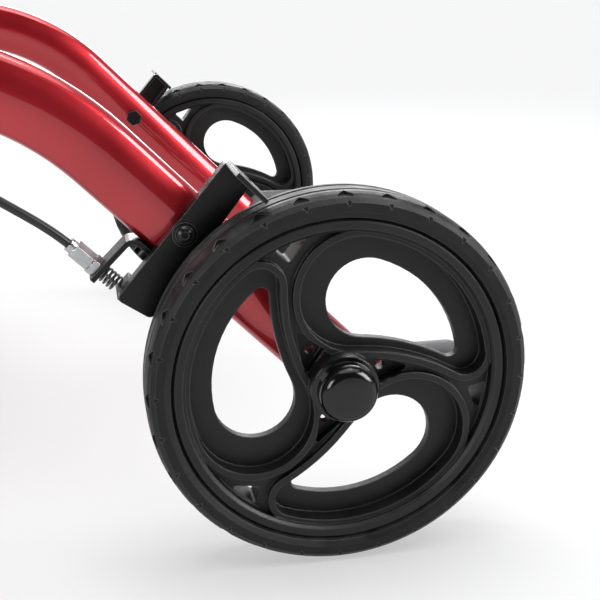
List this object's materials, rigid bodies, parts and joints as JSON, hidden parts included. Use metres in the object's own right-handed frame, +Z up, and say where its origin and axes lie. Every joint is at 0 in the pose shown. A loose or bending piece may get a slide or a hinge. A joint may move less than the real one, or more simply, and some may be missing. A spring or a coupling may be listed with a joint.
{
  "type": "knee scooter",
  "caption": "Knee scooter: red twin-rail frame on black three-window wheels, steered front axle, folding column with brake levers, height-set knee cushion, tyre-blade rear brakes.",
  "frame": {"origin": "on the floor, midway between the axles and between the left and right wheels", "axes": "+X forwards towards the steered wheels, +Y to the rider's left, +Z up"},
  "size_m": [0.8, 0.572, 0.9304],
  "materials": {
    "tyre": "solid moulded rubber tyre with a matt face",
    "rim": "fine-textured moulded black plastic",
    "hub_cap": "glossy black push-on cap",
    "frame_paint": "metallic red paint under clear coat",
    "latch_paint": "red painted latch plate",
    "zinc_steel": "bright zinc-plated steel",
    "spring_steel": "dark oiled spring steel",
    "bright_tube": "satin anodised tube",
    "cushion": "padded black leatherette",
    "grip_rubber": "soft black ribbed rubber",
    "peg_rubber": "dark grey moulded rubber",
    "cable_sleeve": "black cable sleeve",
    "black_plastic": "black moulded plastic",
    "black_paint": "satin black powder coat"
  },
  "bodies": {
    "frame": {"rear_axles": "zinc_steel", "rail_left": "frame_paint", "rail_right": "frame_paint", "tip_pegs": "peg_rubber", "cross_frame": "frame_paint", "head_tube": "frame_paint", "headset": "black_plastic", "front_beam": "frame_paint", "kingpins": "zinc_steel", "cable_brackets": "black_paint", "cable_adjusters": "zinc_steel", "brake_bolts": "black_paint", "brake_spring_left": "spring_steel", "brake_spring_right": "spring_steel", "cables_frame": "cable_sleeve", "cables_stem": "cable_sleeve"},
    "arm_left": {"brake_arm_left": "black_paint"},
    "arm_right": {"brake_arm_right": "black_paint"},
    "knuckle_left": {"knuckle_left": "black_paint"},
    "knuckle_right": {"knuckle_right": "black_paint"},
    "stem": {"stem": "bright_tube", "pitman_arm": "black_paint", "hinge_base": "black_paint", "hinge_pin": "zinc_steel", "cables_hinge": "cable_sleeve"},
    "tie_left": {"tie_rod_left": "zinc_steel"},
    "tie_right": {"tie_rod_right": "zinc_steel"},
    "latch": {"fold_latch": "latch_paint"},
    "column": {"hinge_head": "black_paint", "column": "frame_paint", "column_clips": "black_plastic", "column_clamp": "black_paint", "cables_upper": "cable_sleeve"},
    "clamp_lever": {"clamp_lever": "zinc_steel"},
    "bar": {"bar_post": "bright_tube", "handlebar": "black_paint", "grips": "grip_rubber", "lever_mounts": "black_plastic"},
    "lever_left": {"brake_lever_left": "black_paint"},
    "lever_right": {"brake_lever_right": "black_paint"},
    "knee": {"knee_post": "bright_tube", "knee_tray": "black_paint", "knee_pad": "cushion"},
    "seat_lever": {"seat_lever": "zinc_steel"},
    "wheel_rl": {"tyre_rl": "tyre", "rim_rl": "rim", "cap_rl": "hub_cap", "bearings_rl": "zinc_steel"},
    "wheel_rr": {"tyre_rr": "tyre", "rim_rr": "rim", "cap_rr": "hub_cap", "bearings_rr": "zinc_steel"},
    "wheel_fl": {"tyre_fl": "tyre", "rim_fl": "rim", "cap_fl": "hub_cap", "bearings_fl": "zinc_steel"},
    "wheel_fr": {"tyre_fr": "tyre", "rim_fr": "rim", "cap_fr": "hub_cap", "bearings_fr": "zinc_steel"}
  },
  "joints": [
    {"name": "rear_wheel_left", "type": "hinge", "parent": "frame", "child": "wheel_rl", "pos_m": [-0.3, 0.255, 0.1], "axis": [0, 1, 0], "continuous": true},
    {"name": "rear_wheel_right", "type": "hinge", "parent": "frame", "child": "wheel_rr", "pos_m": [-0.3, -0.255, 0.1], "axis": [0, 1, 0], "continuous": true},
    {"name": "front_wheel_left", "type": "hinge", "parent": "knuckle_left", "child": "wheel_fl", "pos_m": [0.3, 0.255, 0.1], "axis": [0, 1, 0], "continuous": true},
    {"name": "front_wheel_right", "type": "hinge", "parent": "knuckle_right", "child": "wheel_fr", "pos_m": [0.3, -0.255, 0.1], "axis": [0, 1, 0], "continuous": true},
    {"name": "steer", "type": "hinge", "parent": "frame", "child": "stem", "pos_m": [0.3, 0, 0.25], "axis": [0, 0, 1], "range_deg": [-30, 30], "deforming": ["cables_stem"]},
    {"name": "knuckle_turn_left", "type": "hinge", "parent": "frame", "child": "knuckle_left", "pos_m": [0.3, 0.2, 0.15], "axis": [0, 0, 1], "range_deg": [-30, 30]},
    {"name": "knuckle_turn_right", "type": "hinge", "parent": "frame", "child": "knuckle_right", "pos_m": [0.3, -0.2, 0.15], "axis": [0, 0, 1], "range_deg": [-30, 30]},
    {"name": "tie_swing_left", "type": "hinge", "parent": "stem", "child": "tie_left", "pos_m": [0.255, 0.018, 0.1166], "axis": [0, 0, 1], "range_deg": [-30, 30]},
    {"name": "tie_swing_right", "type": "hinge", "parent": "stem", "child": "tie_right", "pos_m": [0.255, -0.018, 0.1166], "axis": [0, 0, 1], "range_deg": [-30, 30]},
    {"name": "column_fold", "type": "hinge", "parent": "stem", "child": "column", "pos_m": [0.3, 0, 0.43], "axis": [0, -1, 0], "range_deg": [0, 50], "deforming": ["cables_hinge"]},
    {"name": "latch_release", "type": "hinge", "parent": "stem", "child": "latch", "pos_m": [0.326, 0, 0.406], "axis": [0, 1, 0], "range_deg": [0, 30], "stiffness_Nm_per_rad": 0.15, "springref_deg": -17.19},
    {"name": "bar_height", "type": "slide", "parent": "column", "child": "bar", "axis": [0, 0, 1], "range_m": [0, 0.08], "deforming": ["cables_upper"]},
    {"name": "clamp_release", "type": "hinge", "parent": "column", "child": "clamp_lever", "pos_m": [0.27, 0, 0.729], "axis": [0, 1, 0], "range_deg": [0, 110]},
    {"name": "knee_height", "type": "slide", "parent": "frame", "child": "knee", "axis": [0, 0, 1], "range_m": [0, 0.09]},
    {"name": "seat_clamp_release", "type": "hinge", "parent": "frame", "child": "seat_lever", "pos_m": [-0.0573, 0, 0.334], "axis": [0, 1, 0], "range_deg": [0, 110]},
    {"name": "brake_lever_left", "type": "hinge", "parent": "bar", "child": "lever_left", "pos_m": [0.31158, 0.14209, 0.912], "axis": [0, 0, 1], "range_deg": [0, 14], "stiffness_Nm_per_rad": 1, "springref_deg": -11.46},
    {"name": "brake_arm_left", "type": "hinge", "parent": "frame", "child": "arm_left", "pos_m": [-0.22505, 0.217, 0.17495], "axis": [0, -1, 0], "range_deg": [0, 4.2], "deforming": ["brake_spring_left"]},
    {"name": "brake_lever_right", "type": "hinge", "parent": "bar", "child": "lever_right", "pos_m": [0.31158, -0.14209, 0.912], "axis": [0, 0, -1], "range_deg": [0, 14], "stiffness_Nm_per_rad": 1, "springref_deg": -11.46},
    {"name": "brake_arm_right", "type": "hinge", "parent": "frame", "child": "arm_right", "pos_m": [-0.22505, -0.217, 0.17495], "axis": [0, -1, 0], "range_deg": [0, 4.2], "deforming": ["brake_spring_right"]}
  ],
  "couplings": [
    {"joint": "knuckle_turn_left", "follows": "steer", "ratio": 1},
    {"joint": "knuckle_turn_right", "follows": "steer", "ratio": 1},
    {"joint": "tie_swing_left", "follows": "steer", "ratio": -1},
    {"joint": "tie_swing_right", "follows": "steer", "ratio": -1},
    {"joint": "brake_arm_left", "follows": "brake_lever_left", "ratio": 0.3},
    {"joint": "brake_arm_right", "follows": "brake_lever_right", "ratio": 0.3}
  ]
}
